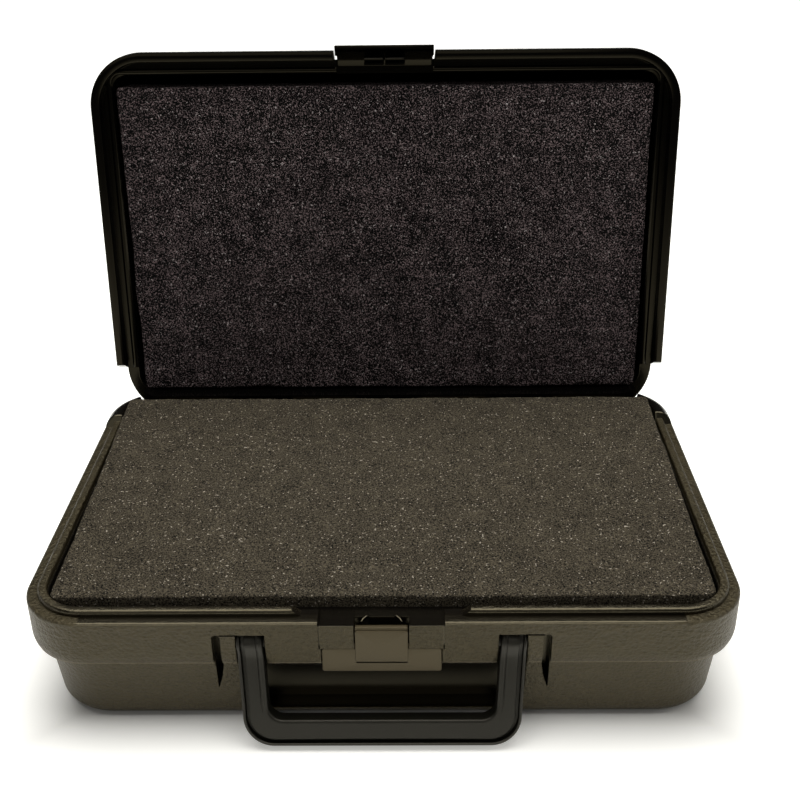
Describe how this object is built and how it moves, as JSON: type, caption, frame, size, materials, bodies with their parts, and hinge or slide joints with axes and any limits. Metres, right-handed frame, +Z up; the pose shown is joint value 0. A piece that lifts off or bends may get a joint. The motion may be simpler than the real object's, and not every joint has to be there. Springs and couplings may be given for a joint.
{
  "type": "blow-moulded case",
  "caption": "Open blow-moulded carrying case with foam in base and lid, swing handle, T-shaped latch and rear hinge.",
  "frame": {"origin": "centre of the base's flat underside, on the surface that it stands on", "axes": "+X to the right along the front, +Y from the front to the hinge, +Z up"},
  "size_m": [0.33, 0.2941, 0.2651],
  "materials": {
    "shell_plastic": "moulded, fine grain",
    "rod_steel": "drawn wire",
    "handle_plastic": "satin",
    "latch_plastic": "satin",
    "foam_base": "open-cell foam",
    "foam_lid": "open-cell foam"
  },
  "bodies": {
    "base": {"base_shell": "shell_plastic", "hinge_rod": "rod_steel", "base_foam": "foam_base", "base_pad": "foam_base"},
    "lid": {"lid_shell": "shell_plastic", "lid_foam": "foam_lid"},
    "handle": {"handle": "handle_plastic"},
    "latch": {"latch_rocker": "latch_plastic"}
  },
  "joints": [
    {"name": "lid_hinge", "type": "hinge", "parent": "base", "child": "lid", "pos_m": [0, 0.1017, 0.0525], "axis": [1, 0, 0], "range_deg": [0, 96.4]},
    {"name": "handle_swing", "type": "hinge", "parent": "base", "child": "handle", "pos_m": [0, -0.105, 0.0475], "axis": [-1, 0, 0], "range_deg": [-15, 90]},
    {"name": "latch_press", "type": "hinge", "parent": "base", "child": "latch", "pos_m": [0, -0.1074, 0.0434], "axis": [1, 0, 0], "range_deg": [0, 5], "stiffness_Nm_per_rad": 0.06, "springref_deg": -1.72}
  ]
}
